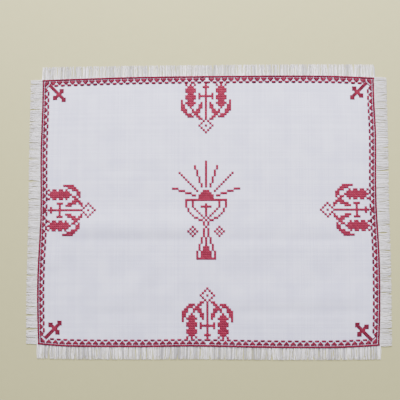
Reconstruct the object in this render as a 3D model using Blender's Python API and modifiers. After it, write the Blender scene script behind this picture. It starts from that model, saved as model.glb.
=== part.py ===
"""An easter basket cover: a rectangle of evenweave cotton, lying flat, with a drawn-thread fringe all round.

It runs in Blender 4.5, from the text editor or with: blender --background --python part.py
Metres, +Z up. The origin is the middle of the underside, on the surface that the cloth lies on. +X runs along
the long sides, and +Y points to the edge that is called the top. A place on the cloth is given by across and
along: metres from its middle, counted along its threads, so that its uneven edges and its creases follow the
weave.
"""

import math
import random
from collections import namedtuple

import bmesh
import bpy

MM = 0.001

# Cloth: its threads counted inside the outer stitched line, and the pitch of an 18-count weave.
THREADS_ACROSS = 304
THREADS_ALONG = 238
PITCH_ACROSS = 1.392 * MM
PITCH_ALONG = 1.411 * MM
WIDTH = THREADS_ACROSS * PITCH_ACROSS
DEPTH = THREADS_ALONG * PITCH_ALONG
THICKNESS = 1.0 * MM

# Grid of the sheet.
COLUMN_SPACING = 14 * MM
ROW_SPACING = 14 * MM

# Fringe: a narrow woven strip, parted from the cloth, that carries the locks of free threads.
PARTING = 0.3 * MM
STRIP = 2.7 * MM
LOCK_GAP = 1.1 * MM
LOCKS_PER_STRIP_POINT = 2
TIP_WIDTH = 0.74
TRIM = 0.7
LEAN_SPREAD = 0.4 * MM
LEAN_WAVE = 0.9 * MM
LEAN_WAVE_LENGTH = 74 * MM
LENGTH_SPREAD = 0.8 * MM
LENGTH_WAVE = 0.5 * MM
LENGTH_WAVE_LENGTH = 115 * MM

COTTON = (0.76, 0.76, 0.81, 1.0)
FREE_THREAD = (0.70, 0.68, 0.68, 1.0)
COTTON_ROUGHNESS = 0.9

# How far each edge lies outside the straight line between its corners, at shares of its length from the left
# end or the lower end. The side edges are drawn in at the middle, where the needlework is dense.
Bow = namedtuple("Bow", "share out")
EDGES = {
    "top": (
        Bow(0.0, 0.0),
        Bow(0.10, 1.3 * MM),
        Bow(0.28, 3.2 * MM),
        Bow(0.60, 3.8 * MM),
        Bow(0.86, 2.9 * MM),
        Bow(1.0, 0.0),
    ),
    "bottom": (
        Bow(0.0, 0.0),
        Bow(0.09, 2.4 * MM),
        Bow(0.30, 2.8 * MM),
        Bow(0.46, 1.7 * MM),
        Bow(0.70, 3.2 * MM),
        Bow(0.88, 2.8 * MM),
        Bow(1.0, 0.0),
    ),
    "left": (
        Bow(0.0, 0.0),
        Bow(0.10, 1.8 * MM),
        Bow(0.25, 2.6 * MM),
        Bow(0.48, 0.2 * MM),
        Bow(0.72, 1.3 * MM),
        Bow(0.88, 0.2 * MM),
        Bow(1.0, 0.0),
    ),
    "right": (
        Bow(0.0, 0.0),
        Bow(0.12, 2.0 * MM),
        Bow(0.32, 2.8 * MM),
        Bow(0.54, 0.3 * MM),
        Bow(0.78, 1.6 * MM),
        Bow(0.91, 0.3 * MM),
        Bow(1.0, 0.0),
    ),
}

# Fold lines run from edge to edge, where the cloth was folded for the cupboard. At_left and at_right are the
# along of the line at the two side edges.
Fold = namedtuple("Fold", "at_left at_right")
UPPER_FOLD = Fold(50 * MM, 50 * MM)
MIDDLE_FOLD = Fold(-38.8 * MM, -38.0 * MM)
LOWER_FOLD = Fold(-126.5 * MM, -126.5 * MM)

# A crease is the valley that stays on a stretch of a fold line: it touches the surface, between a long shoulder
# above it and a short one below it, which die away. From_across and to_across are its ends, where it fades,
# and above and below are the heights of its shoulders.
Flank = namedtuple("Flank", "shoulder foot")
UPPER_FLANK = Flank(18 * MM, 44 * MM)
LOWER_FLANK = Flank(9 * MM, 38 * MM)
ROWS_PER_FLANK = 4
Crease = namedtuple("Crease", "fold from_across to_across above below fade")
CREASES = (
    Crease(MIDDLE_FOLD, -198 * MM, 4 * MM, 2.3 * MM, 0.5 * MM, 32 * MM),
    Crease(MIDDLE_FOLD, 6 * MM, 200 * MM, 1.1 * MM, 1.0 * MM, 36 * MM),
    Crease(LOWER_FOLD, 16 * MM, 204 * MM, 1.4 * MM, 0.4 * MM, 30 * MM),
    Crease(LOWER_FOLD, -158 * MM, -56 * MM, 0.9 * MM, 0.3 * MM, 34 * MM),
    Crease(UPPER_FOLD, -172 * MM, -30 * MM, 0.5 * MM, 0.3 * MM, 50 * MM),
)

# A swell is a soft ridge that lies at a slant, where the cloth has not settled. Its ends are (across, along).
Swell = namedtuple("Swell", "start end height reach")
SWELLS = (
    Swell((-190 * MM, -62 * MM), (-171 * MM, -36 * MM), 1.4 * MM, 20 * MM),
    Swell((-50 * MM, -106 * MM), (-28 * MM, -76 * MM), 0.7 * MM, 22 * MM),
    Swell((-92 * MM, -94 * MM), (-64 * MM, -68 * MM), 1.1 * MM, 20 * MM),
    Swell((102 * MM, -82 * MM), (138 * MM, -70 * MM), 0.5 * MM, 24 * MM),
    Swell((-150 * MM, 100 * MM), (-116 * MM, 108 * MM), 0.4 * MM, 28 * MM),
    Swell((32 * MM, 12 * MM), (48 * MM, 13 * MM), 0.5 * MM, 14 * MM),
)

# Reach is the fringe's depth past the cloth's corner at its left or lower end, and at its other end. It was
# trimmed nearly straight, so its depth loses the share TRIM of the edge's bow.
Fringe = namedtuple("Fringe", "name side locks reach_from reach_to seed")
FRINGES = (
    Fringe("fringe_top", "top", 80, 16.9 * MM, 16.6 * MM, 11),
    Fringe("fringe_bottom", "bottom", 80, 17.2 * MM, 16.4 * MM, 12),
    Fringe("fringe_left", "left", 62, 15.2 * MM, 15.6 * MM, 13),
    Fringe("fringe_right", "right", 62, 15.3 * MM, 16.2 * MM, 14),
)


def smooth(value):
    """0 to 1 with level ends."""
    value = min(max(value, 0.0), 1.0)
    return value * value * (3 - 2 * value)


def knot_slope(knots, index):
    before, after = knots[max(index - 1, 0)], knots[min(index + 1, len(knots) - 1)]
    return (after.out - before.out) / (after.share - before.share)


def bow(side, share):
    """How far the edge lies outside its straight line, on a smooth curve through its knots."""
    knots = EDGES[side]
    share = min(max(share, 0.0), 1.0)
    index = max(i for i in range(len(knots) - 1) if knots[i].share <= share)
    first, second = knots[index], knots[index + 1]
    gap = second.share - first.share
    t = (share - first.share) / gap
    return (
        first.out * (1 + 2 * t) * (1 - t) ** 2
        + second.out * t * t * (3 - 2 * t)
        + knot_slope(knots, index) * gap * t * (1 - t) ** 2
        - knot_slope(knots, index + 1) * gap * t * t * (1 - t)
    )


def placed(across, along):
    """Where a point of the cloth lies, seen from above. An edge's bow dies away towards the middle."""
    side = "right" if across > 0 else "left"
    end = "top" if along > 0 else "bottom"
    out_x = bow(side, along / DEPTH + 0.5) * (2 * across / WIDTH) ** 2
    out_y = bow(end, across / WIDTH + 0.5) * (2 * along / DEPTH) ** 2
    return across + math.copysign(out_x, across), along + math.copysign(out_y, along)


def fold_along(fold, across):
    """The along of a fold line where it passes this across."""
    share = across / WIDTH + 0.5
    return fold.at_left + (fold.at_right - fold.at_left) * share


def crease_lift(crease, across, along):
    off = along - fold_along(crease.fold, across)
    flank, height = (UPPER_FLANK, crease.above) if off > 0 else (LOWER_FLANK, crease.below)
    aside = abs(off)
    if aside >= flank.foot or not crease.from_across < across < crease.to_across:
        return 0.0
    if aside < flank.shoulder:
        profile = smooth(aside / flank.shoulder)
    else:
        profile = 1 - smooth((aside - flank.shoulder) / (flank.foot - flank.shoulder))
    from_end = smooth((across - crease.from_across) / crease.fade)
    to_end = smooth((crease.to_across - across) / crease.fade)
    return height * profile * from_end * to_end


def swell_lift(swell, across, along):
    run_x, run_y = swell.end[0] - swell.start[0], swell.end[1] - swell.start[1]
    run = math.hypot(run_x, run_y)
    off_x, off_y = across - swell.start[0], along - swell.start[1]
    aside = (off_x * run_y - off_y * run_x) / run
    forward = (off_x * run_x + off_y * run_y) / run
    past_end = max(0.0, -forward, forward - run)
    return swell.height * (1 - smooth(math.hypot(aside, past_end) / swell.reach))


def lift(across, along):
    """Height of the cloth's underside over the surface. It is zero all round the edge."""
    rise = sum(crease_lift(crease, across, along) for crease in CREASES)
    return rise + sum(swell_lift(swell, across, along) for swell in SWELLS)


def filled(stops, spacing):
    """The stops, each a Fold, with the bands between them divided evenly."""
    lines = [stops[0]]
    for first, second in zip(stops, stops[1:]):
        steps = max(1, round((second.at_left - first.at_left) / spacing))
        for step in range(1, steps + 1):
            share = step / steps
            lines.append(Fold(*(a + (b - a) * share for a, b in zip(first, second))))
    return lines


def grid_rows():
    """Rows of the grid: both edges, each fold's valley, flanks and feet, and lines between them."""
    rows = [Fold(-DEPTH / 2, -DEPTH / 2)]
    low, high = LOWER_FLANK, UPPER_FLANK
    asides = [-low.foot, -(low.foot + low.shoulder) / 2, -low.shoulder, -low.shoulder / 2]
    asides += [high.shoulder * step / ROWS_PER_FLANK for step in range(ROWS_PER_FLANK + 1)]
    asides += [(high.shoulder + high.foot) / 2, high.foot]
    for fold in (LOWER_FOLD, MIDDLE_FOLD, UPPER_FOLD):
        rows += [Fold(fold.at_left + aside, fold.at_right + aside) for aside in asides]
    rows.append(Fold(DEPTH / 2, DEPTH / 2))
    return filled(rows, ROW_SPACING)


def material(name, color):
    made = bpy.data.materials.new(name)
    made.use_nodes = True
    shader = made.node_tree.nodes["Principled BSDF"]
    shader.inputs["Base Color"].default_value = color
    shader.inputs["Roughness"].default_value = COTTON_ROUGHNESS
    made.diffuse_color = color
    return made


def make_cloth(collection, cotton):
    """The sheet: a grid moved onto the cloth's outline and creases, given its thickness upwards."""
    rows = grid_rows()
    last_row = len(rows) - 1
    last_column = round(WIDTH / COLUMN_SPACING)
    sheet = bmesh.new()
    bmesh.ops.create_grid(sheet, x_segments=last_column, y_segments=last_row, size=1)
    for vert in sheet.verts:
        across = vert.co.x * WIDTH / 2
        along = fold_along(rows[round((vert.co.y + 1) / 2 * last_row)], across)
        vert.co = (*placed(across, along), lift(across, along))
    mesh = bpy.data.meshes.new("cloth")
    sheet.to_mesh(mesh)
    sheet.free()
    mesh.materials.append(cotton)
    mesh.shade_smooth()
    cloth = bpy.data.objects.new("cloth", mesh)
    collection.objects.link(cloth)
    solidify = cloth.modifiers.new("thickness", "SOLIDIFY")
    solidify.thickness = THICKNESS
    solidify.offset = 1
    return cloth


def edge_length(side):
    return WIDTH if side in ("top", "bottom") else DEPTH


def beside_edge(side, along_edge, outward):
    """A point at this distance outside the cloth's edge, straight out from this place along the edge."""
    outward += bow(side, along_edge / edge_length(side) + 0.5)
    if side in ("top", "bottom"):
        sign = 1 if side == "top" else -1
        return along_edge, sign * (DEPTH / 2 + outward)
    sign = 1 if side == "right" else -1
    return sign * (WIDTH / 2 + outward), along_edge


def lock_points(fringe, rng, middle, pitch, reach):
    """One lock of threads: two points where it leaves the strip and two at its uneven tip."""
    half_root = (pitch - LOCK_GAP) / 2
    half_tip = half_root * TIP_WIDTH
    share = middle / edge_length(fringe.side) + 0.5
    lean = LEAN_WAVE * math.sin(2 * math.pi * middle / LEAN_WAVE_LENGTH + fringe.seed)
    lean += rng.uniform(-LEAN_SPREAD, LEAN_SPREAD)
    length = reach + LENGTH_WAVE * math.sin(2 * math.pi * middle / LENGTH_WAVE_LENGTH + fringe.seed)
    length -= rng.uniform(0, LENGTH_SPREAD) + TRIM * bow(fringe.side, share)
    slope = rng.uniform(-LENGTH_SPREAD, LENGTH_SPREAD) / 2
    outer = PARTING + STRIP
    return (
        beside_edge(fringe.side, middle - half_root, outer),
        beside_edge(fringe.side, middle - half_tip + lean, length - slope),
        beside_edge(fringe.side, middle + half_tip + lean, length + slope),
        beside_edge(fringe.side, middle + half_root, outer),
    )


def fringe_outline(fringe):
    """The strip and its locks as one closed outline: out along the locks and back along the cloth's edge."""
    if fringe.side in ("top", "bottom"):
        half = WIDTH / 2 + PARTING + STRIP
    else:
        half = DEPTH / 2
    pitch = 2 * half / fringe.locks
    rng = random.Random(fringe.seed)
    outline = [beside_edge(fringe.side, -half, PARTING + STRIP)]
    for lock in range(fringe.locks):
        share = (lock + 0.5) / fringe.locks
        reach = fringe.reach_from + (fringe.reach_to - fringe.reach_from) * share
        outline += lock_points(fringe, rng, -half + pitch * (lock + 0.5), pitch, reach)
    outline.append(beside_edge(fringe.side, half, PARTING + STRIP))
    strip_steps = fringe.locks // LOCKS_PER_STRIP_POINT
    for step in range(strip_steps, -1, -1):
        outline.append(beside_edge(fringe.side, -half + 2 * half * step / strip_steps, PARTING))
    return outline


def make_fringe(collection, fringe, free_thread):
    curve = bpy.data.curves.new(fringe.name, "CURVE")
    curve.dimensions = "2D"
    curve.fill_mode = "BOTH"
    curve.extrude = THICKNESS / 2
    outline = fringe_outline(fringe)
    spline = curve.splines.new("POLY")
    spline.points.add(len(outline) - 1)
    for point, (x, y) in zip(spline.points, outline):
        point.co = (x, y, 0, 1)
    spline.use_cyclic_u = True
    curve.materials.append(free_thread)
    made = bpy.data.objects.new(fringe.name, curve)
    made.location.z = THICKNESS / 2
    collection.objects.link(made)
    return made


def main():
    for old in list(bpy.data.objects):
        bpy.data.objects.remove(old)
    collection = bpy.data.collections.new("easter_basket_cover")
    bpy.context.scene.collection.children.link(collection)
    cotton = material("bleached cotton", COTTON)
    free_thread = material("free cotton threads", FREE_THREAD)
    make_cloth(collection, cotton)
    for fringe in FRINGES:
        make_fringe(collection, fringe, free_thread)


main()
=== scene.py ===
"""The looks of the easter basket cover, made in Blender 4.5 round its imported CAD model.

Metres, +Z up, as in the CAD. Needlework is counted in threads, as a maker counts it: (0, 0) is the middle of
the cloth, u counts threads along +X and v counts them along +Y.
"""

import math
import random
from collections import namedtuple

import bpy
from mathutils import Euler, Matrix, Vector, noise

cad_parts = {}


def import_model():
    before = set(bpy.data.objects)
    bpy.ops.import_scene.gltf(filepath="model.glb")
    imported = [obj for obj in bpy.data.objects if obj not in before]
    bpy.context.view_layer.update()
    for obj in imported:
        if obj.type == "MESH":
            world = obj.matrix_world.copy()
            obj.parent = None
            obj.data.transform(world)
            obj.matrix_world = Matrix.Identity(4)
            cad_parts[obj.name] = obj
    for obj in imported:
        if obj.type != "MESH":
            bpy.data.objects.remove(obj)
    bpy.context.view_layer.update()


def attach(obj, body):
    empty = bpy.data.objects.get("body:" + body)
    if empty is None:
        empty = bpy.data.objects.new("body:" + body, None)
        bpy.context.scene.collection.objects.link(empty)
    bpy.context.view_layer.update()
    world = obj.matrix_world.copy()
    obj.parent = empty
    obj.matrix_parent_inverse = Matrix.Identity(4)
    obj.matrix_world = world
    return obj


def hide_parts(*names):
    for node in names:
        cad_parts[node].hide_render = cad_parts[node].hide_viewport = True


MM = 0.001

# Cloth, as in the CAD: its threads inside the outer stitched line, and their pitch.
THREADS_ACROSS = 304
THREADS_ALONG = 238
PITCH_ACROSS = 1.392 * MM
PITCH_ALONG = 1.411 * MM
WIDTH = THREADS_ACROSS * PITCH_ACROSS
DEPTH = THREADS_ALONG * PITCH_ALONG

SHEET_THICKNESS = 0.8 * MM
THREADS_PER_FACE = 2
RIPPLE_HEIGHT = 0.22 * MM
RIPPLE_LENGTH = 38 * MM

# How far each edge lies outside the straight line between its corners, at shares of its length.
Bow = namedtuple("Bow", "share out")
EDGES = {
    "top": (
        Bow(0.0, 0.0),
        Bow(0.10, 1.3 * MM),
        Bow(0.28, 3.2 * MM),
        Bow(0.60, 3.8 * MM),
        Bow(0.86, 2.9 * MM),
        Bow(1.0, 0.0),
    ),
    "bottom": (
        Bow(0.0, 0.0),
        Bow(0.09, 2.4 * MM),
        Bow(0.30, 2.8 * MM),
        Bow(0.46, 1.7 * MM),
        Bow(0.70, 3.2 * MM),
        Bow(0.88, 2.8 * MM),
        Bow(1.0, 0.0),
    ),
    "left": (
        Bow(0.0, 0.0),
        Bow(0.10, 1.8 * MM),
        Bow(0.25, 2.6 * MM),
        Bow(0.48, 0.2 * MM),
        Bow(0.72, 1.3 * MM),
        Bow(0.88, 0.2 * MM),
        Bow(1.0, 0.0),
    ),
    "right": (
        Bow(0.0, 0.0),
        Bow(0.12, 2.0 * MM),
        Bow(0.32, 2.8 * MM),
        Bow(0.54, 0.3 * MM),
        Bow(0.78, 1.6 * MM),
        Bow(0.91, 0.3 * MM),
        Bow(1.0, 0.0),
    ),
}

# Fold lines, creases and swells, as in the CAD or within 3 mm of it. A crease's flank climbs evenly from the
# valley and rounds off to be level at its shoulder.
Fold = namedtuple("Fold", "at_left at_right")
UPPER_FOLD = Fold(50 * MM, 50 * MM)
MIDDLE_FOLD = Fold(-36.6 * MM, -38.0 * MM)
LOWER_FOLD = Fold(-128.0 * MM, -124.5 * MM)
Flank = namedtuple("Flank", "shoulder foot")
UPPER_FLANK = Flank(15 * MM, 44 * MM)
LOWER_FLANK = Flank(9 * MM, 38 * MM)
SHOULDER_ROUNDING = 0.25
SHOULDER_POWER = 5
Crease = namedtuple("Crease", "fold from_across to_across above below fade")
CREASES = (
    Crease(MIDDLE_FOLD, -198 * MM, 6 * MM, 2.5 * MM, 0.5 * MM, 26 * MM),
    Crease(MIDDLE_FOLD, 6 * MM, 200 * MM, 1.1 * MM, 1.0 * MM, 36 * MM),
    Crease(LOWER_FOLD, 16 * MM, 204 * MM, 1.2 * MM, 0.4 * MM, 30 * MM),
    Crease(LOWER_FOLD, -158 * MM, -56 * MM, 0.9 * MM, 0.3 * MM, 34 * MM),
    Crease(UPPER_FOLD, -172 * MM, -30 * MM, 0.5 * MM, 0.3 * MM, 50 * MM),
)
Swell = namedtuple("Swell", "start end height reach")
SWELLS = (
    Swell((-190 * MM, -62 * MM), (-171 * MM, -36 * MM), 1.4 * MM, 20 * MM),
    Swell((-50 * MM, -106 * MM), (-28 * MM, -76 * MM), 0.7 * MM, 22 * MM),
    Swell((-92 * MM, -94 * MM), (-64 * MM, -68 * MM), 1.1 * MM, 20 * MM),
    Swell((102 * MM, -82 * MM), (138 * MM, -70 * MM), 0.5 * MM, 24 * MM),
    Swell((-150 * MM, 100 * MM), (-116 * MM, 108 * MM), 0.4 * MM, 28 * MM),
    Swell((32 * MM, 12 * MM), (48 * MM, 13 * MM), 0.5 * MM, 14 * MM),
)

# Fringe: its depth past the cloth's corners, the spread of its threads' tones, which is random tone and
# partly painted shade between strands, greater on the top and bottom, and how its threads bunch and wander.
Fringe = namedtuple("Fringe", "name node side reach_from reach_to contrast seed")
FRINGES = (
    Fringe("top_threads", "fringe_top", "top", 16.9 * MM, 16.6 * MM, 1.5, 11),
    Fringe("bottom_threads", "fringe_bottom", "bottom", 17.2 * MM, 16.4 * MM, 2.4, 12),
    Fringe("left_threads", "fringe_left", "left", 15.2 * MM, 15.6 * MM, 0.55, 13),
    Fringe("right_threads", "fringe_right", "right", 15.3 * MM, 16.2 * MM, 0.45, 14),
)
TRIM = 0.7
PLIES_PER_THREAD = 3
PLY_SPACING = 0.33
PLY_RADIUS = 0.30 * MM
EXTRA_THREADS = 1
ROOT_OVERLAP = 1.0 * MM
ROOT_HEIGHT = 0.42 * MM
TIP_HEIGHT = (0.26 * MM, 0.9 * MM)
BUNCH_THREADS = (3, 9)
BUNCH_PULL = (0.0, 0.25)
BUNCH_LEAN = 0.9 * MM
STRAY_LEAN = 0.4 * MM
SHORTENED = 1.3 * MM
BEND = 0.7 * MM
WAVE = 0.25 * MM
WAVE_RADIANS = 9.0
ROOT_CLOSENESS = 0.8
TIP_THINNING = 0.35
TIP_POWER = 3.0

# Needlework. A cross lies over two threads each way. Every stitch is an arch of thread, fullest in the
# middle, whose ends dip into the cloth.
CROSS = 2
CROSS_INSET = 0.08
CROSS_WIDTH = 2.1 * MM
UNDER_RISE = 0.30 * MM
OVER_RISE = 0.52 * MM
SATIN_WIDTH = 2.3 * MM
SATIN_RISE = 0.42 * MM
DASH_WIDTH = 3.2 * MM
FINE_WIDTH = 1.5 * MM
STITCH_DIP = 0.15 * MM
STITCH_FLATNESS = 0.5
ARCH_POWER = 2.6
END_FULLNESS = 0.82
MIDDLE_FULLNESS = 0.18
# Levels of painted shade on the red work: none for the crosses, and full for the border's straight stitches,
# which are painted in shade.
BRIGHT, DEEP = 0.0, 1.0

# The border's stitches differ a little in fullness from side to side, and those of the bottom are painted
# lighter, with less painted shade, to offset the shade that falls on them.
FULLNESS = {"top": 1.05, "bottom": 0.92, "left": 1.0, "right": 0.98}
BOTTOM_PAINTED_SHADE = 0.7

# The border, in threads counted in from the outer line's outside.
LINE_LEVELS = (0.2, 1.7)
LINE_SLANT = (0.3, 0.7)
TOOTH_BULGE = 0.5
TOOTH_LEVEL = 2.15
TOOTH = (1, 2, 3, 2, 1)
MIDDLE_TOOTH = (1, 2, 3, 4, 3, 2, 1)
TOOTH_PITCH = 6
FIRST_TOOTH = 10
MIDDLE_CLEARANCE = 2
DASH_LEVEL = 5.9
DASH_BULGE = 0.45
DASH = 3
MIDDLE_DASH = 5
CORNER_BLOCK = (5, 4, 3, 2)
BLOCK_LEVEL = 2.9
BLOCK_BULGE = 0.2

# Corner crosses, on single threads counted in from the two sides. The stem comes in from a bar by the corner.
# The cross at the bottom left is worked one thread too high.
CORNER_MIDDLE = (14, 13)
CORNER_STEM = 8
CORNER_ARM = 3
CORNER_TIP = 5
CORNER_BAR = ((4, 7), (5, 6), (6, 5), (7, 4))
RAISED_CORNER = (-1, -1)
# The stem, arms and squares round the middle are painted in shade, darker than the middle.
STEM_PAINTED_SHADE = 0.8

# The chalice: strokes of cross stitches from one place to another, (column, row). Columns count both ways
# from its middle, so that each stroke is worked twice, and rows count down from its top ray.
CHALICE_TOP = 44
CHALICE_MIDDLE = -1
CHALICE = (
    ((0, 0), (0, 11)),
    ((5, 2), (5, 3)),
    ((4, 4), (4, 6)),
    ((3, 7), (3, 9)),
    ((2, 10), (2, 11)),
    ((12, 5), (4, 13)),
    ((13, 12), (15, 12)),
    ((10, 13), (12, 13)),
    ((7, 14), (9, 14)),
    ((5, 15), (6, 15)),
    ((0, 13), (1, 13)),
    ((0, 14), (2, 14)),
    ((0, 15), (3, 15)),
    ((0, 16), (3, 16)),
    ((0, 17), (9, 17)),
    ((9, 18), (9, 20)),
    ((8, 21), (8, 22)),
    ((7, 23), (7, 23)),
    ((6, 24), (6, 24)),
    ((4, 25), (5, 25)),
    ((2, 26), (3, 26)),
    ((6, 18), (6, 20)),
    ((5, 21), (1, 25)),
    ((0, 19), (0, 24)),
    ((1, 20), (2, 20)),
    ((0, 26), (0, 26)),
    ((1, 27), (1, 28)),
    ((0, 29), (0, 29)),
    ((1, 30), (1, 33)),
    ((2, 34), (2, 36)),
    ((0, 34), (0, 37)),
    ((3, 37), (3, 39)),
    ((4, 40), (4, 43)),
    ((0, 43), (4, 43)),
    ((0, 38), (1, 38)),
    ((0, 39), (1, 39)),
    ((0, 40), (2, 40)),
    ((0, 41), (2, 41)),
    ((0, 42), (2, 42)),
)

# The sprig at the middle of each side: a staff with a cross bar and a diamond at its foot, between two ears
# of wheat with their stems and leaves. Rows count in from the border.
SPRIG_LEVEL = 5
SPRIG_MIDDLES = {"top": -1, "bottom": 0, "left": 0, "right": 0}
SPRIG = (
    ((0, 1), (0, 15)),
    ((1, 2), (1, 2)),
    ((1, 6), (3, 6)),
    ((3, 5), (3, 7)),
    ((7, 1), (7, 11)),
    ((5, 1), (6, 2)),
    ((8, 2), (9, 1)),
    ((8, 3), (8, 10)),
    ((9, 3), (9, 4)),
    ((9, 6), (9, 7)),
    ((9, 9), (9, 9)),
    ((6, 3), (6, 10)),
    ((5, 3), (5, 4)),
    ((5, 6), (5, 7)),
    ((5, 9), (5, 9)),
    ((6, 12), (6, 13)),
    ((5, 13), (5, 14)),
    ((4, 14), (4, 15)),
    ((2, 16), (3, 16)),
    ((3, 15), (3, 15)),
    ((7, 14), (9, 14)),
    ((6, 15), (8, 15)),
    ((9, 12), (9, 13)),
    ((10, 10), (10, 13)),
    ((11, 8), (11, 12)),
    ((3, 10), (3, 13)),
    ((2, 9), (2, 11)),
    ((4, 12), (4, 13)),
    ((0, 16), (3, 19)),
    ((3, 19), (0, 22)),
    ((0, 19), (0, 19)),
)

# Small diamonds at both sides of the chalice's stem: their middles, (column, row).
DIAMONDS = ((-6, 31), (6, 31))
DIAMOND_REACH = 2

# Colours of the finishes, linear.
COTTON_WHITE = (0.77, 0.76, 1.0, 1.0)
COTTON_GREY = (0.62, 0.61, 0.87, 1.0)
# Painted shade in the pits between the cloth's threads.
COTTON_PIT_SHADE = (0.42, 0.42, 0.47, 1.0)
FREE_THREAD = (0.98, 0.94, 1.0, 1.0)
# The grey that the free threads' tones and grooves run to, partly painted shade between strands.
FREE_THREAD_SHADED_GREY = (0.43, 0.41, 0.45, 1.0)
# The red, lit, and the deeper red that its painted shade and grooves run to; stitches also vary between them
# at random.
BRIGHT_RED = (0.295, 0.027, 0.065, 1.0)
DEEP_AND_SHADED_RED = (0.095, 0.010, 0.025, 1.0)
FLOOR_CREAM = (0.435, 0.412, 0.210, 1.0)

# How each finish takes the light: roughness, specular level, and the depth and strength of its relief.
Surface = namedtuple("Surface", "roughness specular depth strength")
EVENWEAVE_SURFACE = Surface(0.9, 0.2, 0.3 * MM, 0.5)
FREE_THREAD_SURFACE = Surface(0.9, 0.2, 0.08 * MM, 0.5)
STRANDED_SURFACE = Surface(0.8, 0.1, 0.12 * MM, 0.6)

# The cloth's greyer patches: waves of noise a metre, how strong they are, and how far they are held back.
PATCHES_PER_METRE = 36.0
PATCH_DETAIL = 4.0
PATCH_CONTRAST = 2.4
PATCH_SHIFT = -0.7

# Twist of a thread: turns along its length, and plies round it. The numbers after it say how much the
# grooves' painted shade, the thread's own tone (on free threads partly painted shade between strands) and the
# painted shade of a stitch's place in the work grey or deepen it.
Twist = namedtuple("Twist", "turns plies")
FREE_THREAD_TWIST = Twist(14.0, 2.0)
STRANDED_TWIST = Twist(1.5, 4.0)
FREE_THREAD_GROOVE_SHADE = 0.5
FREE_THREAD_TONE_AND_SHADE = 0.8
STRANDED_GROOVE_SHADE = 0.7
STRANDED_TONES = 0.5
STRANDED_PAINTED_SHADE = 0.5

# The floor under the cloth.
FLOOR_DROP = 0.3 * MM
FLOOR_SIZE = 4.0
FLOOR_ROUGHNESS = 0.95
FLOOR_SHADE = 0.94
FLOOR_GRAINS_PER_METRE = 90.0
FLOOR_DETAIL = 3.0

# The camera hangs over the cloth, turned by these degrees. The window's light comes in low over its top side.
CAMERA_PLACE = (0.0080, -0.0312, 0.6916)
CAMERA_TURN = (3.62, 1.42, -0.06)
CAMERA_ANGLE = 40
SKY = (0.93, 0.96, 1.0, 1.0)
SKY_STRENGTH = 0.40
Lamp = namedtuple("Lamp", "name place size power color")
LAMPS = (
    Lamp("window", (0.0, 1.20, 0.90), 0.8, 79.0, (0.995, 0.985, 0.965)),
    Lamp("ceiling", (0.0, 0.05, 1.4), 1.0, 5.0, (0.98, 0.98, 1.0)),
)


def smooth(value):
    """0 to 1 with level ends."""
    value = min(max(value, 0.0), 1.0)
    return value * value * (3 - 2 * value)


def knot_slope(knots, index):
    """Slope of an edge's curve at one of its knots."""
    before, after = knots[max(index - 1, 0)], knots[min(index + 1, len(knots) - 1)]
    return (after.out - before.out) / (after.share - before.share)


def bow(side, share):
    """How far the edge lies outside its straight line, on a smooth curve through its knots."""
    knots = EDGES[side]
    share = min(max(share, 0.0), 1.0)
    index = max(i for i in range(len(knots) - 1) if knots[i].share <= share)
    first, second = knots[index], knots[index + 1]
    gap = second.share - first.share
    t = (share - first.share) / gap
    return (
        first.out * (1 + 2 * t) * (1 - t) ** 2
        + second.out * t * t * (3 - 2 * t)
        + knot_slope(knots, index) * gap * t * (1 - t) ** 2
        - knot_slope(knots, index + 1) * gap * t * t * (1 - t)
    )


def placed(across, along):
    """Where a point of the cloth lies, seen from above. An edge's bow dies away towards the middle."""
    side = "right" if across > 0 else "left"
    end = "top" if along > 0 else "bottom"
    out_x = bow(side, along / DEPTH + 0.5) * min(1.0, abs(2 * across / WIDTH)) ** 2
    out_y = bow(end, across / WIDTH + 0.5) * min(1.0, abs(2 * along / DEPTH)) ** 2
    return across + math.copysign(out_x, across), along + math.copysign(out_y, along)


def crease_lift(crease, across, along):
    """Height that a crease adds at this place of the cloth."""
    share = across / WIDTH + 0.5
    off = along - crease.fold.at_left - (crease.fold.at_right - crease.fold.at_left) * share
    flank, height = (UPPER_FLANK, crease.above) if off > 0 else (LOWER_FLANK, crease.below)
    aside = abs(off)
    if aside >= flank.foot or not crease.from_across < across < crease.to_across:
        return 0.0
    if aside < flank.shoulder:
        share_up = aside / flank.shoulder
        profile = (1 + SHOULDER_ROUNDING) * share_up - SHOULDER_ROUNDING * share_up**SHOULDER_POWER
    else:
        profile = 1 - smooth((aside - flank.shoulder) / (flank.foot - flank.shoulder))
    from_end = smooth((across - crease.from_across) / crease.fade)
    to_end = smooth((crease.to_across - across) / crease.fade)
    return height * profile * from_end * to_end


def swell_lift(swell, across, along):
    """Height that a swell adds at this place of the cloth."""
    run_x, run_y = swell.end[0] - swell.start[0], swell.end[1] - swell.start[1]
    run = math.hypot(run_x, run_y)
    off_x, off_y = across - swell.start[0], along - swell.start[1]
    aside = (off_x * run_y - off_y * run_x) / run
    forward = (off_x * run_x + off_y * run_y) / run
    past_end = max(0.0, -forward, forward - run)
    return swell.height * (1 - smooth(math.hypot(aside, past_end) / swell.reach))


def ripple(across, along):
    """The slight unevenness of pressed cotton. It is never below the surface that the cloth lies on."""
    wave = noise.noise(Vector((across, along, 0)) / RIPPLE_LENGTH)
    return RIPPLE_HEIGHT * max(0.0, 0.5 + wave)


def lift(across, along):
    """Height of the cloth's underside over the surface."""
    rise = sum(crease_lift(crease, across, along) for crease in CREASES)
    rise += sum(swell_lift(swell, across, along) for swell in SWELLS)
    return rise + ripple(across, along)


def on_cloth(u, v):
    """The point of the cloth's upper face at this thread."""
    across, along = u * PITCH_ACROSS, v * PITCH_ALONG
    return (*placed(across, along), lift(across, along) + SHEET_THICKNESS)


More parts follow.
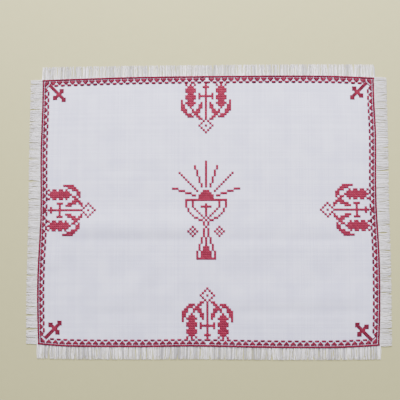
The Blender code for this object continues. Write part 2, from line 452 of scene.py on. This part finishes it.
class Nodes:
    """Adds nodes to one tree and joins them. A value is a number, a colour or another node's output."""

    def __init__(self, tree):
        self.tree = tree

    def put(self, socket, value):
        if isinstance(value, bpy.types.NodeSocket):
            self.tree.links.new(value, socket)
        else:
            socket.default_value = value

    def add(self, kind, inputs=None, **settings):
        node = self.tree.nodes.new(kind)
        for name, value in settings.items():
            setattr(node, name, value)
        for key, value in (inputs or {}).items():
            self.put(node.inputs[key], value)
        return node

    def math(self, operation, *values):
        kind = "ShaderNodeMath"
        return self.add(kind, dict(enumerate(values)), operation=operation).outputs[0]

    def vector(self, operation, *values):
        kind = "ShaderNodeVectorMath"
        return self.add(kind, dict(enumerate(values)), operation=operation).outputs[0]

    def mix(self, share, first, second):
        inputs = {"Factor": share, "A": first, "B": second}
        node = self.tree.nodes.new("ShaderNodeMix")
        node.data_type = "RGBA"
        for socket in node.inputs:
            if socket.enabled and socket.name in inputs:
                self.put(socket, inputs[socket.name])
        return next(socket for socket in node.outputs if socket.enabled)


def new_group(name, kind, inputs, outputs):
    """An empty group. Its inputs are (name, socket type, value) and its outputs (name, socket type)."""
    tree = bpy.data.node_groups.new(name, kind)
    for label, socket_type, value in inputs:
        socket = tree.interface.new_socket(name=label, in_out="INPUT", socket_type=socket_type)
        if value is not None:
            socket.default_value = value
    for label, socket_type in outputs:
        tree.interface.new_socket(name=label, in_out="OUTPUT", socket_type=socket_type)
    nodes = Nodes(tree)
    return tree, nodes, nodes.add("NodeGroupInput").outputs, nodes.add("NodeGroupOutput").inputs


def attribute(nodes, name):
    node = nodes.add("GeometryNodeInputNamedAttribute", {"Name": name}, data_type="FLOAT")
    return node.outputs["Attribute"]


def captured(nodes, geometry, value):
    """The geometry with a value kept from its points, and that value."""
    keep = nodes.add("GeometryNodeCaptureAttribute", domain="POINT")
    keep.capture_items.new("FLOAT", "Kept")
    nodes.put(keep.inputs[0], geometry)
    nodes.put(keep.inputs[1], value)
    return keep.outputs[0], keep.outputs[1]


def spine(nodes, mesh, steps):
    """The start of both thread trees: a curve along each edge of a mesh, and the share of its length."""
    line = nodes.add("GeometryNodeMeshToCurve", {"Mesh": mesh}).outputs[0]
    points = nodes.math("ADD", steps, 1.0)
    line = nodes.add("GeometryNodeResampleCurve", {"Curve": line, "Count": points}).outputs[0]
    return captured(nodes, line, nodes.add("GeometryNodeSplineParameter").outputs["Factor"])


def wrapped(nodes, curve, along, sides, flatness, finish):
    """The end of both thread trees: a closed tube round each curve, with its UV map and its finish."""
    circle = nodes.add("GeometryNodeCurvePrimitiveCircle", {"Resolution": sides, "Radius": 1.0})
    squashed = nodes.add("ShaderNodeCombineXYZ", {"X": 1.0, "Y": flatness, "Z": 1.0})
    section = nodes.add(
        "GeometryNodeTransform",
        {"Geometry": circle.outputs["Curve"], "Rotation": (0, 0, -math.pi / 2)},
    )
    section = nodes.add(
        "GeometryNodeTransform",
        {"Geometry": section.outputs[0], "Scale": squashed.outputs[0]},
    )
    round_it = nodes.add("GeometryNodeSplineParameter").outputs["Factor"]
    section, around = captured(nodes, section.outputs[0], round_it)
    upright = nodes.add("GeometryNodeSetCurveNormal", {"Curve": curve}, mode="Z_UP")
    radius = nodes.add("GeometryNodeInputRadius").outputs[0]
    tube = nodes.add(
        "GeometryNodeCurveToMesh",
        {"Curve": upright.outputs[0], "Profile Curve": section, "Scale": radius, "Fill Caps": True},
    )
    place = nodes.add("ShaderNodeCombineXYZ", {"X": along, "Y": around})
    mapped = nodes.add(
        "GeometryNodeStoreNamedAttribute",
        {"Geometry": tube.outputs[0], "Name": "UVMap", "Value": place.outputs[0]},
        data_type="FLOAT2",
        domain="CORNER",
    )
    smoothed = nodes.add("GeometryNodeSetShadeSmooth", {"Geometry": mapped.outputs[0]})
    real = nodes.add("GeometryNodeRealizeInstances", {"Geometry": smoothed.outputs[0]})
    finished = nodes.add(
        "GeometryNodeSetMaterial",
        {"Geometry": real.outputs[0], "Material": finish},
    )
    return finished.outputs[0]


def stitch_tree():
    """Turns each edge of a mesh into a stitch: an arch of thread that dips into the cloth at both ends."""
    tree, nodes, given, result = new_group(
        "Stitches",
        "GeometryNodeTree",
        (
            ("Geometry", "NodeSocketGeometry", None),
            ("Steps", "NodeSocketInt", 4),
            ("Sides", "NodeSocketInt", 5),
            ("Flatness", "NodeSocketFloat", STITCH_FLATNESS),
            ("Dip", "NodeSocketFloat", STITCH_DIP),
            ("Finish", "NodeSocketMaterial", None),
        ),
        (("Geometry", "NodeSocketGeometry"),),
    )
    line, along = spine(nodes, given["Geometry"], given["Steps"])
    from_middle = nodes.math("ABSOLUTE", nodes.math("MULTIPLY_ADD", along, 2.0, -1.0))
    arch = nodes.math("SUBTRACT", 1.0, nodes.math("POWER", from_middle, ARCH_POWER))
    height = nodes.math("MULTIPLY", arch, attribute(nodes, "rise"))
    height = nodes.math("SUBTRACT", height, given["Dip"])
    upwards = nodes.add("ShaderNodeCombineXYZ", {"Z": height}).outputs[0]
    line = nodes.add("GeometryNodeSetPosition", {"Geometry": line, "Offset": upwards}).outputs[0]
    fullness = nodes.math("MULTIPLY_ADD", arch, MIDDLE_FULLNESS, END_FULLNESS)
    radius = nodes.math("MULTIPLY", fullness, attribute(nodes, "half_width"))
    line = nodes.add("GeometryNodeSetCurveRadius", {"Curve": line, "Radius": radius}).outputs[0]
    made = wrapped(nodes, line, along, given["Sides"], given["Flatness"], given["Finish"])
    nodes.put(result[0], made)
    return tree


def fringe_tree():
    """Turns each edge of a mesh into a free thread, bent and wavy, that thins at its tip."""
    tree, nodes, given, result = new_group(
        "Free Threads",
        "GeometryNodeTree",
        (
            ("Geometry", "NodeSocketGeometry", None),
            ("Steps", "NodeSocketInt", 6),
            ("Sides", "NodeSocketInt", 4),
            ("Radius", "NodeSocketFloat", PLY_RADIUS),
            ("Sideways", "NodeSocketVector", (1, 0, 0)),
            ("Wave", "NodeSocketFloat", WAVE),
            ("Finish", "NodeSocketMaterial", None),
        ),
        (("Geometry", "NodeSocketGeometry"),),
    )
    line, along = spine(nodes, given["Geometry"], given["Steps"])
    hump = nodes.math("MULTIPLY", along, nodes.math("SUBTRACT", 1.0, along))
    bent = nodes.math("MULTIPLY", nodes.math("MULTIPLY", hump, 4.0), attribute(nodes, "bend"))
    phase = nodes.math("MULTIPLY_ADD", along, WAVE_RADIANS, attribute(nodes, "phase"))
    wavy = nodes.math("MULTIPLY", nodes.math("SINE", phase), given["Wave"])
    wavy = nodes.math("MULTIPLY", wavy, along)
    aside = nodes.add(
        "ShaderNodeVectorMath",
        {"Vector": given["Sideways"], "Scale": nodes.math("ADD", bent, wavy)},
        operation="SCALE",
    ).outputs[0]
    line = nodes.add("GeometryNodeSetPosition", {"Geometry": line, "Offset": aside}).outputs[0]
    to_tip = nodes.math("POWER", along, TIP_POWER)
    thinned = nodes.math("SUBTRACT", 1.0, nodes.math("MULTIPLY", to_tip, TIP_THINNING))
    radius = nodes.math("MULTIPLY", thinned, given["Radius"])
    line = nodes.add("GeometryNodeSetCurveRadius", {"Curve": line, "Radius": radius}).outputs[0]
    made = wrapped(nodes, line, along, given["Sides"], 1.0, given["Finish"])
    nodes.put(result[0], made)
    return tree


def grown(name, lines, values, tree, inputs):
    """A plain mesh that a tree makes of lines, each (start, end). Each named list has a value a line."""
    paths = bpy.data.meshes.new(name + "_paths")
    points = [point for line in lines for point in line]
    paths.from_pydata(points, [(i, i + 1) for i in range(0, len(points), 2)], [])
    for label, numbers in values.items():
        stored = paths.attributes.new(label, "FLOAT", "POINT")
        stored.data.foreach_set("value", [number for number in numbers for _ in range(2)])
    maker = bpy.data.objects.new(name + "_maker", paths)
    bpy.context.scene.collection.objects.link(maker)
    modifier = maker.modifiers.new("threads", "NODES")
    modifier.node_group = tree
    identifiers = {
        item.name: item.identifier
        for item in tree.interface.items_tree
        if item.item_type == "SOCKET" and item.in_out == "INPUT"
    }
    for label, value in inputs.items():
        modifier[identifiers[label]] = value
    depsgraph = bpy.context.evaluated_depsgraph_get()
    mesh = bpy.data.meshes.new_from_object(maker.evaluated_get(depsgraph), depsgraph=depsgraph)
    mesh.name = name
    bpy.data.objects.remove(maker)
    bpy.data.meshes.remove(paths)
    piece = bpy.data.objects.new(name, mesh)
    bpy.context.scene.collection.objects.link(piece)
    return piece


def weave_group():
    """Plain weave over a surface whose coordinates count its threads, with a mask for painted shade in the
    pits between threads.
    """
    tree, nodes, given, result = new_group(
        "Plain Weave",
        "ShaderNodeTree",
        (
            ("Threads", "NodeSocketVector", None),
            ("Thread Width", "NodeSocketFloat", 0.86),
        ),
        (
            ("Height", "NodeSocketFloat"),
            ("Pit Shade", "NodeSocketFloat"),
            ("Tone", "NodeSocketFloat"),
        ),
    )
    parts = nodes.add("ShaderNodeSeparateXYZ", {0: given["Threads"]})
    heights, covers, tones = [], [], []
    for own, other, half in ((0, 1, 0.5), (1, 0, -0.5)):
        own, other = parts.outputs[own], parts.outputs[other]
        number = nodes.math("FLOOR", own)
        off = nodes.math("ABSOLUTE", nodes.math("SUBTRACT", nodes.math("FRACT", own), 0.5))
        off = nodes.math("DIVIDE", nodes.math("MULTIPLY", off, 2.0), given["Thread Width"])
        cover = nodes.math("MAXIMUM", nodes.math("SUBTRACT", 1.0, nodes.math("MULTIPLY", off, off)), 0.0)
        cover = nodes.math("SQRT", cover)
        turn = nodes.math("COSINE", nodes.math("MULTIPLY", number, math.pi))
        wave = nodes.math("SINE", nodes.math("MULTIPLY", other, math.pi))
        over = nodes.math("MULTIPLY_ADD", nodes.math("MULTIPLY", turn, wave), half, 0.5)
        heights.append(nodes.math("MULTIPLY", cover, over))
        covers.append(nodes.math("SUBTRACT", 1.0, cover))
        seed = nodes.math("ADD", number, half)
        drawn = nodes.add("ShaderNodeTexWhiteNoise", {"W": seed}, noise_dimensions="1D")
        tones.append(drawn.outputs["Value"])
    on_top = nodes.math("GREATER_THAN", heights[0], heights[1])
    difference = nodes.math("SUBTRACT", tones[0], tones[1])
    nodes.put(result["Height"], nodes.math("MAXIMUM", *heights))
    nodes.put(result["Pit Shade"], nodes.math("MULTIPLY", *covers))
    nodes.put(result["Tone"], nodes.math("MULTIPLY_ADD", difference, on_top, tones[1]))
    return tree


def twist_group():
    """The plies of a thread, wound round it at a slant: their height, and a mask for painted shade in the
    grooves between them.
    """
    tree, nodes, given, result = new_group(
        "Thread Twist",
        "ShaderNodeTree",
        (
            ("Place", "NodeSocketVector", None),
            ("Turns", "NodeSocketFloat", 3.0),
            ("Plies", "NodeSocketFloat", 3.0),
        ),
        (
            ("Height", "NodeSocketFloat"),
            ("Groove Shade", "NodeSocketFloat"),
        ),
    )
    parts = nodes.add("ShaderNodeSeparateXYZ", {0: given["Place"]})
    along = nodes.math("MULTIPLY", parts.outputs["X"], given["Turns"])
    slant = nodes.math("ADD", nodes.math("MULTIPLY", parts.outputs["Y"], given["Plies"]), along)
    height = nodes.math("ABSOLUTE", nodes.math("SINE", nodes.math("MULTIPLY", slant, math.pi)))
    nodes.put(result["Height"], height)
    # A mask for painted shade in the grooves between plies.
    nodes.put(result["Groove Shade"], nodes.math("POWER", nodes.math("SUBTRACT", 1.0, height), 2.0))
    return tree


def new_finish(name):
    """A new material, a way to add to its nodes, and its shader."""
    made = bpy.data.materials.new(name)
    made.use_nodes = True
    return made, Nodes(made.node_tree), made.node_tree.nodes["Principled BSDF"]


def surfaced(nodes, shader, color, height, surface):
    """Joins a finish's colour and relief to its shader, and sets how it takes the light."""
    nodes.put(shader.inputs["Base Color"], color)
    shader.inputs["Roughness"].default_value = surface.roughness
    shader.inputs["Specular IOR Level"].default_value = surface.specular
    relief = {"Height": height, "Distance": surface.depth, "Strength": surface.strength}
    bump = nodes.add("ShaderNodeBump", relief)
    nodes.put(shader.inputs["Normal"], bump.outputs["Normal"])


def wound(nodes, group, twist):
    """The height of a thread's plies and the mask for painted shade in their grooves, on its own UV map."""
    plies = nodes.add("ShaderNodeGroup", node_tree=group)
    nodes.put(plies.inputs["Place"], nodes.add("ShaderNodeUVMap", uv_map="UVMap").outputs["UV"])
    plies.inputs["Turns"].default_value = twist.turns
    plies.inputs["Plies"].default_value = twist.plies
    return plies.outputs["Height"], plies.outputs["Groove Shade"]


def of_thread(nodes, name):
    """A value that each thread was given."""
    return nodes.add("ShaderNodeAttribute", attribute_name=name).outputs["Fac"]


def evenweave_finish():
    """Bleached cotton, thread by thread, with painted shade in the pits between threads. Some threads and
    some broad patches are greyer than the rest.
    """
    made, nodes, shader = new_finish("evenweave cotton")
    place = nodes.add("ShaderNodeUVMap", uv_map="UVMap").outputs["UV"]
    threads = nodes.vector("MULTIPLY", place, (THREADS_ACROSS, THREADS_ALONG, 1))
    weave = nodes.add("ShaderNodeGroup", node_tree=weave_group())
    nodes.put(weave.inputs["Threads"], threads)
    where = nodes.add("ShaderNodeTexCoord").outputs["Object"]
    noise_inputs = {"Vector": where, "Scale": PATCHES_PER_METRE, "Detail": PATCH_DETAIL}
    blotch = nodes.add("ShaderNodeTexNoise", noise_inputs).outputs[0]
    patches = nodes.math("MULTIPLY_ADD", blotch, PATCH_CONTRAST, PATCH_SHIFT)
    share = nodes.math("ADD", nodes.math("SUBTRACT", weave.outputs["Tone"], 0.5), patches)
    color = nodes.mix(share, COTTON_WHITE, COTTON_GREY)
    # The pits between threads are painted in shade.
    color = nodes.mix(weave.outputs["Pit Shade"], color, COTTON_PIT_SHADE)
    surfaced(nodes, shader, color, weave.outputs["Height"], EVENWEAVE_SURFACE)
    return made


def free_thread_finish(group):
    """Free threads of the same cotton, each in a tone of its own, which is partly painted shade between
    strands, with painted shade in their grooves.
    """
    made, nodes, shader = new_finish("free cotton threads")
    height, groove_shade = wound(nodes, group, FREE_THREAD_TWIST)
    # The thread's tone: random, and partly painted shade between strands.
    tone = nodes.math("MULTIPLY", of_thread(nodes, "tone"), FREE_THREAD_TONE_AND_SHADE)
    # Painted shade in the grooves, added to the thread's tone.
    share = nodes.math("MULTIPLY_ADD", groove_shade, FREE_THREAD_GROOVE_SHADE, tone)
    color = nodes.mix(share, FREE_THREAD, FREE_THREAD_SHADED_GREY)
    surfaced(nodes, shader, color, height, FREE_THREAD_SURFACE)
    return made


def stranded_cotton_finish(group):
    """Red stranded cotton, each stitch in a tone of its own, with painted shade by its place in the work and
    painted shade in its grooves.
    """
    made, nodes, shader = new_finish("red stranded cotton")
    height, groove_shade = wound(nodes, group, STRANDED_TWIST)
    # Painted shade by the stitch's place in the work, and a random tone of its own.
    shade = nodes.math("MULTIPLY", of_thread(nodes, "shade"), STRANDED_PAINTED_SHADE)
    share = nodes.math("MULTIPLY_ADD", of_thread(nodes, "tone"), STRANDED_TONES, shade)
    color = nodes.mix(share, BRIGHT_RED, DEEP_AND_SHADED_RED)
    # Painted shade in the grooves, towards the deep red.
    color = nodes.mix(nodes.math("MULTIPLY", groove_shade, STRANDED_GROOVE_SHADE), color, DEEP_AND_SHADED_RED)
    surfaced(nodes, shader, color, height, STRANDED_SURFACE)
    return made


def make_sheet(cotton):
    """The cloth: one thin sheet on the CAD's outline, with a UV map that runs along its threads."""
    columns = THREADS_ACROSS // THREADS_PER_FACE
    rows = THREADS_ALONG // THREADS_PER_FACE
    points = []
    for row in range(rows + 1):
        for column in range(columns + 1):
            x, y, z = on_cloth(
                THREADS_PER_FACE * column - THREADS_ACROSS / 2,
                THREADS_PER_FACE * row - THREADS_ALONG / 2,
            )
            points.append((x, y, z - SHEET_THICKNESS))
    faces = []
    for row in range(rows):
        for column in range(columns):
            start = row * (columns + 1) + column
            faces.append((start, start + 1, start + columns + 2, start + columns + 1))
    mesh = bpy.data.meshes.new("cover")
    mesh.from_pydata(points, [], faces)
    mapped = mesh.uv_layers.new(name="UVMap")
    for loop in mesh.loops:
        row, column = divmod(loop.vertex_index, columns + 1)
        mapped.data[loop.index].uv = (column / columns, row / rows)
    mesh.materials.append(cotton)
    mesh.shade_smooth()
    piece = bpy.data.objects.new("cover", mesh)
    bpy.context.scene.collection.objects.link(piece)
    solidify = piece.modifiers.new("thickness", "SOLIDIFY")
    solidify.thickness = SHEET_THICKNESS
    solidify.offset = 1
    return piece


Stitch = namedtuple("Stitch", "start end rise width shade")


def cross_stitch(u, v, size, width, shade=BRIGHT):
    """Two arms over a square of threads whose lower left corner is (u, v). All upper arms slant one way."""
    low, high = CROSS_INSET, size - CROSS_INSET
    return [
        Stitch((u + low, v + low), (u + high, v + high), UNDER_RISE, width, shade),
        Stitch((u + low, v + high), (u + high, v + low), OVER_RISE, width, shade),
    ]


def stroke_cells(stroke):
    """The places that a stroke of stitches covers."""
    (column, row), (last_column, last_row) = stroke
    steps = max(abs(last_column - column), abs(last_row - row))
    if steps == 0:
        return [(column, row)]
    return [
        (
            column + round((last_column - column) * step / steps),
            row + round((last_row - row) * step / steps),
        )
        for step in range(steps + 1)
    ]


def charted(strokes):
    """Every place of a chart that is the same on both sides of its middle column."""
    cells = {cell for stroke in strokes for cell in stroke_cells(stroke)}
    return sorted(cells | {(-column, row) for column, row in cells})


def diamond_cells(middle):
    """A ring of single places, and the place in its middle."""
    column, row = middle
    cells = {middle}
    for i in range(-DIAMOND_REACH, DIAMOND_REACH + 1):
        j = DIAMOND_REACH - abs(i)
        cells |= {(column + i, row + j), (column + i, row - j)}
    return sorted(cells)


def chalice_stitches():
    cells = charted(CHALICE)
    for middle in DIAMONDS:
        cells += diamond_cells(middle)
    stitches = []
    for column, row in cells:
        left = CHALICE_MIDDLE - CROSS / 2 + CROSS * column
        stitches += cross_stitch(left, CHALICE_TOP - CROSS * (row + 1), CROSS, CROSS_WIDTH)
    return stitches


def turned(side, beside, level):
    """A place along a side, counted from the side's middle, at a level in from its outer line, as (u, v)."""
    if side == "top":
        return beside, THREADS_ALONG / 2 - level
    if side == "bottom":
        return beside, level - THREADS_ALONG / 2
    if side == "left":
        return level - THREADS_ACROSS / 2, beside
    return THREADS_ACROSS / 2 - level, beside


def sprig_stitches(side):
    stitches = []
    for column, row in charted(SPRIG):
        beside = SPRIG_MIDDLES[side] + CROSS * column
        u, v = turned(side, beside, SPRIG_LEVEL + CROSS * (row + 0.5))
        stitches += cross_stitch(u - CROSS / 2, v - CROSS / 2, CROSS, CROSS_WIDTH)
    return stitches


def straight(side, beside, level, to_beside, to_level, width=SATIN_WIDTH, rise=SATIN_RISE):
    """A straight stitch of one side's border, from one place and level to another."""
    # The bottom side's stitches are painted lighter, with less painted shade.
    shade = BOTTOM_PAINTED_SHADE if side == "bottom" else DEEP
    ends = turned(side, beside, level), turned(side, to_beside, to_level)
    return Stitch(*ends, rise, width * FULLNESS[side], shade)


def tooth_stitches(side, middle, lengths):
    """A tooth: satin stitches side by side, each one thread further along, of these lengths."""
    first = middle - (len(lengths) - 1) / 2
    return [
        straight(side, first + i, TOOTH_LEVEL, first + i, TOOTH_LEVEL + length + TOOTH_BULGE)
        for i, length in enumerate(lengths)
    ]


def dash_stitch(side, middle, length):
    half = length / 2 + DASH_BULGE
    return straight(side, middle - half, DASH_LEVEL, middle + half, DASH_LEVEL, DASH_WIDTH)


def border_stitches(side):
    """The outer line, teeth and dashes of one side, the same on both halves."""
    long_side = side in ("top", "bottom")
    half = (THREADS_ACROSS if long_side else THREADS_ALONG) // 2
    ends = half if long_side else half - 1
    stitches = [
        straight(side, place + LINE_SLANT[0], LINE_LEVELS[0], place + LINE_SLANT[1], LINE_LEVELS[1])
        for place in range(-ends, ends)
    ]
    teeth = list(range(half - FIRST_TOOTH, MIDDLE_CLEARANCE, -TOOTH_PITCH))
    for tooth in teeth:
        for sign in (-1, 1):
            stitches += tooth_stitches(side, sign * tooth, TOOTH)
    for tooth, following in zip(teeth, teeth[1:]):
        for sign in (-1, 1):
            stitches.append(dash_stitch(side, sign * (tooth + following) / 2, DASH))
    if long_side:
        stitches.append(dash_stitch(side, 0, MIDDLE_DASH))
    else:
        stitches += tooth_stitches(side, 0, MIDDLE_TOOTH)
        for sign in (-1, 1):
            stitches.append(dash_stitch(side, sign * teeth[-1] / 2, DASH))
    return stitches


def band(column, row, step, slant):
    """Four places side by side across a slanting band, this many steps from its start."""
    column, row = column + step, row + slant * step
    return {(column, row), (column + 1, row), (column, row + slant), (column + 1, row - slant)}


def square(column, row):
    return {(column + i, row + j) for i in (-1, 0, 1, 2) for j in (-1, 0, 1, 2)}


def corner_cells():
    """The places of a corner cross, counted in from both sides: its middle, painted lit, and the rest,
    painted in shade.
    """
    column, row = CORNER_MIDDLE
    middle = square(column, row)
    cells = set(CORNER_BAR)
    for step in range(-CORNER_STEM, CORNER_TIP):
        cells |= band(column, row, step, 1)
    for step in range(-CORNER_ARM, CORNER_ARM):
        cells |= band(column, row + 1, step, -1)
    cells |= square(column + CORNER_TIP, row + CORNER_TIP)
    cells |= square(column + CORNER_ARM, row - CORNER_ARM)
    cells |= square(column - CORNER_ARM, row + CORNER_ARM)
    return sorted(middle), sorted(cells - middle)


def corner_stitches(sign_u, sign_v):
    raised = 1 if (sign_u, sign_v) == RAISED_CORNER else 0
    stitches = []
    # The middle is painted lit; the stem, arms and squares are painted in shade.
    for cells, shade in zip(corner_cells(), (BRIGHT, STEM_PAINTED_SHADE)):
        for column, row in cells:
            u = sign_u * (THREADS_ACROSS / 2 - column - 0.5) - 0.5
            v = sign_v * (THREADS_ALONG / 2 - row - 0.5) - 0.5 + raised
            stitches += cross_stitch(u, v, 1, FINE_WIDTH, shade)
    side = "top" if sign_v > 0 else "bottom"
    for i, length in enumerate(CORNER_BLOCK):
        beside = sign_u * (THREADS_ACROSS / 2 - BLOCK_LEVEL - i)
        stitches.append(straight(side, beside, TOOTH_LEVEL, beside, TOOTH_LEVEL + length + BLOCK_BULGE))
    return stitches


def make_needlework(name, stitches, tree, finish, seed):
    """One piece of needlework: its stitches, laid on the cloth."""
    rng = random.Random(seed)
    values = {
        "rise": [stitch.rise for stitch in stitches],
        "half_width": [stitch.width / 2 for stitch in stitches],
        "shade": [stitch.shade for stitch in stitches],
        "tone": [rng.random() for _ in stitches],
    }
    lines = [(on_cloth(*stitch.start), on_cloth(*stitch.end)) for stitch in stitches]
    return grown(name, lines, values, tree, {"Finish": finish})


def beside_edge(side, beside, outward):
    """A point this far outside the outer line, straight out from this distance along the side."""
    length = WIDTH if side in ("top", "bottom") else DEPTH
    outward += bow(side, beside / length + 0.5)
    if side in ("top", "bottom"):
        sign = 1 if side == "top" else -1
        return beside, sign * (DEPTH / 2 + outward)
    sign = 1 if side == "right" else -1
    return sign * (WIDTH / 2 + outward), beside


def bunched_tips(rng, roots):
    """Where the tips lie along the side: threads cling in bunches, and each bunch leans its own way."""
    tips = []
    start = 0
    while start < len(roots):
        bunch = roots[start : start + rng.randint(*BUNCH_THREADS)]
        middle = sum(bunch) / len(bunch)
        pull = rng.uniform(*BUNCH_PULL)
        lean = rng.uniform(-BUNCH_LEAN, BUNCH_LEAN)
        tips += [root + (middle - root) * pull + lean for root in bunch]
        start += len(bunch)
    return tips


def make_fringe(fringe, tree, finish):
    """The free threads of one side, which start under its outer line. Each is drawn as its plies."""
    rng = random.Random(fringe.seed)
    long_side = fringe.side in ("top", "bottom")
    threads = THREADS_ACROSS if long_side else THREADS_ALONG
    pitch = PITCH_ACROSS if long_side else PITCH_ALONG
    extra = EXTRA_THREADS if long_side else 0
    roots = [(i + 0.5 - threads / 2) * pitch for i in range(-extra, threads + extra)]
    lines, values = [], {"bend": [], "phase": [], "tone": []}
    for index, (root, tip) in enumerate(zip(roots, bunched_tips(rng, roots))):
        share = (index + 0.5) / len(roots)
        reach = fringe.reach_from + (fringe.reach_to - fringe.reach_from) * share
        reach -= TRIM * bow(fringe.side, share)
        # Each thread's tone is random, spread more on the top and bottom sides as painted shade between
        # strands.
        tone = 0.5 + (rng.random() - 0.5) * fringe.contrast
        for ply in range(PLIES_PER_THREAD):
            aside = (ply - (PLIES_PER_THREAD - 1) / 2) * PLY_SPACING * pitch
            end = tip + aside + rng.gauss(0, STRAY_LEAN)
            start = beside_edge(fringe.side, root + aside * ROOT_CLOSENESS, -ROOT_OVERLAP)
            stop = beside_edge(fringe.side, end, reach - SHORTENED * rng.random() ** 2)
            lines.append(((*start, ROOT_HEIGHT), (*stop, rng.uniform(*TIP_HEIGHT))))
            values["bend"].append(rng.gauss(0, BEND))
            values["phase"].append(rng.uniform(0, 2 * math.pi))
            values["tone"].append(tone)
    sideways = (1.0, 0.0, 0.0) if long_side else (0.0, 1.0, 0.0)
    return grown(fringe.name, lines, values, tree, {"Finish": finish, "Sideways": sideways})


def make_floor():
    half = FLOOR_SIZE / 2
    mesh = bpy.data.meshes.new("floor")
    corners = [(-half, -half), (half, -half), (half, half), (-half, half)]
    mesh.from_pydata([(x, y, -FLOOR_DROP) for x, y in corners], [], [(0, 1, 2, 3)])
    made, nodes, shader = new_finish("cream floor")
    where = nodes.add("ShaderNodeTexCoord").outputs["Object"]
    noise_inputs = {"Vector": where, "Scale": FLOOR_GRAINS_PER_METRE, "Detail": FLOOR_DETAIL}
    grain = nodes.add("ShaderNodeTexNoise", noise_inputs).outputs[0]
    darker = tuple(FLOOR_SHADE * part for part in FLOOR_CREAM[:3]) + (1.0,)
    nodes.put(shader.inputs["Base Color"], nodes.mix(grain, FLOOR_CREAM, darker))
    shader.inputs["Roughness"].default_value = FLOOR_ROUGHNESS
    mesh.materials.append(made)
    floor = bpy.data.objects.new("floor", mesh)
    bpy.context.scene.collection.objects.link(floor)
    return floor


def add_lamp(lamp):
    """A round lamp that shines on the middle of the cloth."""
    data = bpy.data.lights.new(lamp.name, "AREA")
    data.shape = "DISK"
    data.size = lamp.size
    data.energy = lamp.power
    data.color = lamp.color
    made = bpy.data.objects.new(lamp.name, data)
    made.location = lamp.place
    aim = Vector((0, 0, 0)) - Vector(lamp.place)
    made.rotation_euler = aim.to_track_quat("-Z", "Y").to_euler()
    bpy.context.scene.collection.objects.link(made)


def add_studio():
    world = bpy.data.worlds.new("studio")
    world.use_nodes = True
    background = world.node_tree.nodes["Background"]
    background.inputs["Color"].default_value = SKY
    background.inputs["Strength"].default_value = SKY_STRENGTH
    bpy.context.scene.world = world
    for lamp in LAMPS:
        add_lamp(lamp)


def add_camera():
    data = bpy.data.cameras.new("camera")
    data.sensor_fit = "HORIZONTAL"
    data.lens = data.sensor_width / 2 / math.tan(math.radians(CAMERA_ANGLE) / 2)
    camera = bpy.data.objects.new("camera", data)
    camera.location = CAMERA_PLACE
    camera.rotation_euler = Euler([math.radians(turn) for turn in CAMERA_TURN])
    bpy.context.scene.collection.objects.link(camera)
    bpy.context.scene.camera = camera


def main():
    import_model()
    twist = twist_group()
    cover = make_sheet(evenweave_finish())
    red = stranded_cotton_finish(twist)
    stitches = stitch_tree()
    sides = ("top", "bottom", "left", "right")
    corners = [(u, v) for u in (-1, 1) for v in (-1, 1)]
    work = {
        "border": [stitch for side in sides for stitch in border_stitches(side)],
        "corner_crosses": [stitch for corner in corners for stitch in corner_stitches(*corner)],
        "chalice": chalice_stitches(),
        "sprigs": [stitch for side in sides for stitch in sprig_stitches(side)],
    }
    needlework = [
        make_needlework(name, found, stitches, red, seed)
        for seed, (name, found) in enumerate(work.items())
    ]
    free_thread = free_thread_finish(twist)
    fringes = fringe_tree()
    threads = [make_fringe(fringe, fringes, free_thread) for fringe in FRINGES]
    floor = make_floor()
    add_studio()
    add_camera()
    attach(cover, "root")
    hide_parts("cloth")
    for piece in needlework:
        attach(piece, "root")
    for fringe, piece in zip(FRINGES, threads):
        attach(piece, "root")
        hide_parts(fringe.node)


main()
